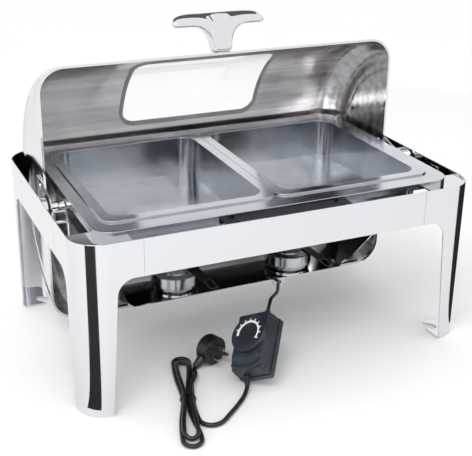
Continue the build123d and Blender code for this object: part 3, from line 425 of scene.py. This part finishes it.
def card_piece(name, corners, stuff):
    """A flat card that only reflections can see. Corners are in metres."""
    mesh = bpy.data.meshes.new(name)
    mesh.from_pydata(corners, [], [tuple(range(len(corners)))])
    mesh.materials.append(stuff)
    card = bpy.data.objects.new(name, mesh)
    bpy.context.collection.objects.link(card)
    card.visible_camera = False
    card.visible_diffuse = False
    card.visible_shadow = False
    card.visible_transmission = False
    return card


def floor_ray(name, foot, from_degrees, to_degrees, near, far):
    """A card on the table that fans out from a foot, between two compass turns."""
    turns = [math.radians(from_degrees + (to_degrees - from_degrees) * k / 4) for k in range(5)]
    ring = [(foot[0] + far * math.cos(t), foot[1] + far * math.sin(t), 0.0002) for t in turns]
    ring += [(foot[0] + near * math.cos(t), foot[1] + near * math.sin(t), 0.0002) for t in reversed(turns)]
    return card_piece(name, ring, card_paint)


table_paint, tree, shader = new_finish("pale_table_paint", "#F3F3F3", 0.0, 0.85)
mottle = grain(tree, 400, (1, 1, 1), 2)
wash = put(tree, "ShaderNodeMix", {"data_type": "RGBA"}, {"Factor": mottle.outputs["Fac"], 6: linear("#F1F1F1"),
                                                         7: linear("#F6F6F6")})
tree.links.new(wash.outputs[2], shader.inputs["Base Color"])
card_paint, tree, shader = new_finish("black_card", "#050505", 0.0, 0.9)
grey_paint, tree, shader = new_finish("grey_card", "#5A5B5E", 0.0, 0.9)
table_mesh = bpy.data.meshes.new("table")
table_mesh.from_pydata([(-6, -6, 0), (6, -6, 0), (6, 6, 0), (-6, 6, 0)], [], [(0, 1, 2, 3)])
table_mesh.materials.append(table_paint)
table = bpy.data.objects.new("table", table_mesh)
table.location = (0, 0, -0.0003)
bpy.context.collection.objects.link(table)
floor_ray("left_leg_card", (-0.274, -0.166), 207, 243, 0.062, 1.6)
floor_ray("right_leg_card", (0.274, -0.166), 338, 430, 0.062, 1.6)
card_piece("overhead_card", [(-1.2, 0.7, 1.9), (1.2, 0.7, 1.9), (1.2, 1.5, 1.5), (-1.2, 1.5, 1.5)], grey_paint)
card_piece("right_card", [(1.3, -0.5, 0.0), (1.3, 0.5, 0.0), (1.3, 0.5, 0.8), (1.3, -0.5, 0.8)], card_paint)
key = bpy.data.objects.new("key_softbox", bpy.data.lights.new("key_softbox", "AREA"))
key.data.shape = "RECTANGLE"
key.data.size, key.data.size_y, key.data.energy = 1.2, 0.7, 14
key.location = (-0.9, -1.1, 1.7)
key.rotation_euler = (Vector((0, 0, 0.2)) - key.location).to_track_quat("-Z", "Y").to_euler()
bpy.context.collection.objects.link(key)
print("table, 4 cards and a softbox of", key.data.energy, "watts")

# %% [markdown]
# The dial's scale is printed in white on the knob: a band that swells as the heat rises, with nine
# ticks. Print is a skin of ink, so it is made as a very thin raised face that turns
# with the knob. A quad strip along an arc is the simplest mesh that bends smoothly.

# %% Printed dial scale
ink, tree, shader = new_finish("white_pad_print_ink", "#F1F2F0", 0.0, 0.5)
ink_grain = grain(tree, 3, (1, 1, 1), 2)
rough = put(tree, "ShaderNodeMapRange", {}, {**STRETCH, "Value": ink_grain.outputs["Fac"],
                                             "To Min": 0.42, "To Max": 0.6})
tree.links.new(rough.outputs["Result"], shader.inputs["Roughness"])


def link_mesh(name, mesh_data, stuff, body):
    """Turn a bmesh into a piece with a finish, riding on one body."""
    mesh = bpy.data.meshes.new(name)
    mesh_data.to_mesh(mesh)
    mesh_data.free()
    mesh.materials.append(stuff)
    piece = bpy.data.objects.new(name, mesh)
    bpy.context.collection.objects.link(piece)
    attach(piece, body)
    return piece


def dial_point(radius, degrees, high):
    """A point on the dial, by its distance from the middle in mm and its angle."""
    turn = math.radians(degrees)
    return on_controller(radius * math.cos(turn), dial_middle + radius * math.sin(turn), high)


dial_print = bmesh.new()
steps = 48
print_height = 44.86
inner_row, outer_row = [], []
for i in range(steps + 1):
    share = i / steps
    degrees = 188 - share * 226
    inner_row.append(dial_print.verts.new(dial_point(16.0 + 2.0 * share, degrees, print_height)))
    outer_row.append(dial_print.verts.new(dial_point(20.6, degrees, print_height)))
for i in range(steps):
    dial_print.faces.new((outer_row[i], outer_row[i + 1], inner_row[i + 1], inner_row[i]))
for k in range(9):
    degrees = 160 - k * 24
    corners = []
    for radius, swing in ((20.4, -2.4), (20.4, 2.4), (24.2, 2.0), (24.2, -2.0)):
        corners.append(dial_print.verts.new(dial_point(radius, degrees + swing, print_height)))
    dial_print.faces.new(corners)
bmesh.ops.recalc_face_normals(dial_print, faces=dial_print.faces)
scale_print = link_mesh("dial_scale_print", dial_print, ink, "dial")
thick = scale_print.modifiers.new("ink_thickness", "SOLIDIFY")
thick.thickness = 0.0001
print("printed band and 9 ticks,", len(scale_print.data.polygons), "faces")

# %% [markdown]
# Strain reliefs. Where a flexible lead enters a case, a soft sleeve with ribs spreads the bend.
# The sleeve tapers along its length and its ribs are grooves cut to the same taper. It is a turned
# shape, so a profile is spun round the lead's direction.

# %% Ribbed strain reliefs


def turned(name, foot, direction, profile, stuff, body, sides=40):
    """Spin a profile of (distance along, radius) pairs, in mm, round a direction."""
    direction = direction.normalized()
    side = direction.orthogonal().normalized()
    other = direction.cross(side)
    shape = bmesh.new()
    rings = []
    for far, radius in profile:
        ring = []
        for k in range(sides):
            a = 2 * math.pi * k / sides
            outward = side * math.cos(a) + other * math.sin(a)
            ring.append(shape.verts.new(foot + (direction * far + outward * radius) / 1000))
        rings.append(ring)
    for low, high in zip(rings, rings[1:]):
        for k in range(sides):
            shape.faces.new((low[k], low[(k + 1) % sides], high[(k + 1) % sides], high[k]))
    shape.faces.new(rings[0][::-1])
    shape.faces.new(rings[-1])
    bmesh.ops.recalc_face_normals(shape, faces=shape.faces)
    for face in shape.faces:
        face.smooth = len(face.verts) == 4
    return link_mesh(name, shape, stuff, body)


def ribbed(length, wide, narrow, ribs, depth):
    """A tapering profile with square ribs."""
    profile = [(0, wide)]
    pitch = length / (ribs + 0.5)
    for k in range(ribs):
        near, far = pitch * (k + 0.45), pitch * (k + 1)
        here = wide + (narrow - wide) * near / length
        profile += [(near, here), (near + 0.15, here - depth), (far - 0.15, here - depth), (far, here)]
    return profile + [(length - 0.5, narrow), (length, narrow - 0.4)]


lead_sleeve = turned("lead_strain_relief", on_controller(12, 47, 22), lead_end - on_controller(12, 47, 22),
                     ribbed(11, 5.2, 3.7, 3, 0.5), cord_pvc, "stand")
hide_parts("controller_lead_gland")
cord_foot = on_controller(-10, -47, 16)
cord_sleeve = turned("cord_strain_relief", cord_foot, cord_start - cord_foot,
                     ribbed(13.9, 5.4, 4.0, 4, 0.6), cord_pvc, "stand")
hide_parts("controller_cord_gland")
print("strain reliefs", len(lead_sleeve.data.vertices), "and", len(cord_sleeve.data.vertices), "points")

# %% [markdown]
# The case has a finger scoop below the dial: a shallow trough that follows the dial's circle and
# ends in a lip. A shape like that is easiest as a grid. Each column keeps its place across the
# case, each row keeps its distance from the dial's middle, and a list of heights draws the trough.

# %% Finger scoop below the dial
scoop = bmesh.new()
rows = [(34, 38.25), (37, 38.3), (40, 37.7), (44, 36.5), (48, 35.9), (51.5, 35.9), (53.8, 36.5), (55, 36.4),
        (55.7, 35.2), (56, 31)]
columns = 24
grid = []
for radius, high in rows:
    line = []
    for k in range(columns + 1):
        x = -27.6 + 55.2 * k / columns
        edge = 0.0 if 0 < k < columns else -0.7
        y = dial_middle - math.sqrt(radius ** 2 - x ** 2)
        line.append(scoop.verts.new(on_controller(x, y, high + edge)))
    grid.append(line)
for low, high in zip(grid, grid[1:]):
    for k in range(columns):
        scoop.faces.new((low[k], low[k + 1], high[k + 1], high[k]))
for k, x in ((0, -27.7), (columns, 27.7)):
    skirt = []
    for radius, high in rows:
        skirt.append(scoop.verts.new(on_controller(x, dial_middle - math.sqrt(radius ** 2 - x ** 2), 29.5)))
    for i in range(len(rows) - 1):
        scoop.faces.new((grid[i][k], grid[i + 1][k], skirt[i + 1], skirt[i]))
bmesh.ops.recalc_face_normals(scoop, faces=scoop.faces)
for face in scoop.faces:
    face.smooth = True
scoop_piece = link_mesh("finger_scoop", scoop, case_plastic, "stand")
print("scoop", len(scoop_piece.data.polygons), "faces")

# %% [markdown]
# The tie is a nylon band pulled snug round five strands: three on the table and two lying in the
# gaps above. It is one closed loop with a square section and a small locking head, so an outline
# round the bundle is thickened outwards and then given its width.

# %% Snug cable tie
outline = [(-10.4, 0.3), (10.4, 0.3), (11.0, 3.2), (10.0, 6.0), (7.2, 11.4), (4.6, 13.0), (-4.6, 13.0),
           (-7.2, 11.4), (-10.0, 6.0), (-11.0, 3.2)]
tie = bmesh.new()
middle = Vector((0, 6.6))
bands = []
for grow in (0.0, 1.1):
    for far in (-2.2, 2.2):
        ring = []
        for side, high in outline:
            push = (Vector((side, high)) - middle).normalized() * grow
            spot = hank_at + hank_along * far + hank_across * (side + push.x)
            spot += Vector((0, 0, max(high + push.y, 0.25)))
            ring.append(tie.verts.new(spot / 1000))
        bands.append(ring)
count = len(outline)
for low, high in ((0, 1), (1, 3), (3, 2), (2, 0)):
    for k in range(count):
        m = (k + 1) % count
        tie.faces.new((bands[low][k], bands[low][m], bands[high][m], bands[high][k]))
head = []
for far, side, high in ((-3.2, -1, 13.2), (3.2, -1, 13.2), (3.2, 6, 12.6), (-3.2, 6, 12.6)):
    base = hank_at + hank_along * far + hank_across * side
    head.append([tie.verts.new((base + Vector((0, 0, high + up))) / 1000) for up in (0, 4.2)])
for k in range(4):
    m = (k + 1) % 4
    tie.faces.new((head[k][0], head[m][0], head[m][1], head[k][1]))
tie.faces.new([pair[1] for pair in head])
tie.faces.new([pair[0] for pair in reversed(head)])
bmesh.ops.recalc_face_normals(tie, faces=tie.faces)
tie_piece = link_mesh("snug_tie", tie, cord_pvc, "stand")
edge = tie_piece.modifiers.new("soft_edges", "BEVEL")
edge.width, edge.segments, edge.limit_method = 0.0003, 2, "ANGLE"
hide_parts("cable_tie")
print("tie", len(tie_piece.data.polygons), "faces")

# %% [markdown]
# The handle is cast and hand polished: two leaves spread from a short stem. Their top leans to the
# front and the buffing wheel has rounded every edge. Each row below is one slice across the handle,
# in mm: its place, its underside, its front top edge, its back top edge and half its depth. Rings of
# points along the rows are joined and then smoothed by subdivision.

# %% Leaf handle on the lid
handle_turn = math.radians(75.4)
hinge_height = 241.0
rows = ((-76.8, 250.5, 255.0, 258.5, 5.0), (-74.0, 248.2, 258.0, 263.5, 6.5),
        (-66.0, 247.6, 259.5, 267.5, 7.8), (-54.0, 247.6, 260.5, 269.5, 9.2),
        (-40.0, 247.2, 260.5, 270.3, 10.6), (-30.0, 244.0, 259.5, 270.4, 11.4),
        (-22.0, 236.0, 257.0, 270.4, 12.0), (-17.0, 226.0, 253.5, 270.4, 12.2),
        (-15.0, 214.0, 252.0, 270.4, 12.3), (-14.6, 205.2, 251.5, 270.4, 12.3),
        (0.0, 205.2, 247.0, 270.4, 12.4))
rows = rows + tuple((-x, low, front, back, deep) for x, low, front, back, deep in reversed(rows[:-1]))
leaf = bmesh.new()
rings_of_leaf = []
for x, low, front, back, deep in rows:
    soft = min(3.0, (front - low) * 0.3, deep * 0.4)
    outline = ((deep - soft, low), (deep, low + soft), (deep, front - soft), (deep - soft, front + soft * 0.4),
               (0.0, (front + back) / 2 + 0.6), (-deep + soft, back), (-deep, back - soft), (-deep, low + soft),
               (-deep + soft, low), (0.0, low))
    ring = []
    for toward, out in outline:
        y = out * math.cos(handle_turn) - toward * math.sin(handle_turn)
        z = hinge_height + out * math.sin(handle_turn) + toward * math.cos(handle_turn)
        ring.append(leaf.verts.new((x / 1000, y / 1000, z / 1000)))
    rings_of_leaf.append(ring)
for one, two in zip(rings_of_leaf, rings_of_leaf[1:]):
    for k in range(10):
        leaf.faces.new((one[k], one[(k + 1) % 10], two[(k + 1) % 10], two[k]))
leaf.faces.new(rings_of_leaf[0])
leaf.faces.new(reversed(rings_of_leaf[-1]))
bmesh.ops.recalc_face_normals(leaf, faces=leaf.faces)
for face in leaf.faces:
    face.smooth = True
leaf_handle = link_mesh("leaf_handle", leaf, stand_steel, "lid")
leaf_skin = leaf_handle.modifiers.new("buffed_edges", "SUBSURF")
leaf_skin.levels, leaf_skin.render_levels = 2, 2
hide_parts("lid_handle")
print("leaf handle wings reach", max(row[0] for row in rows), "mm each way")

# %% [markdown]
# The lead and the cord take the PVC finish and ride on the stand, and the CAD lead, cord and hank
# that they replace are hidden.

for flex in (lead, cord):
    flex.data.materials.append(cord_pvc)
    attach(flex, "stand")
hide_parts("heater_lead")
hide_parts("supply_cord", "cord_hank", "plug_cord")
print("declared", lead.name, "and", cord.name)

# %% [markdown]
# Last, the view layer is updated so every piece sits in its final place.

# %% Finish
bpy.context.view_layer.update()
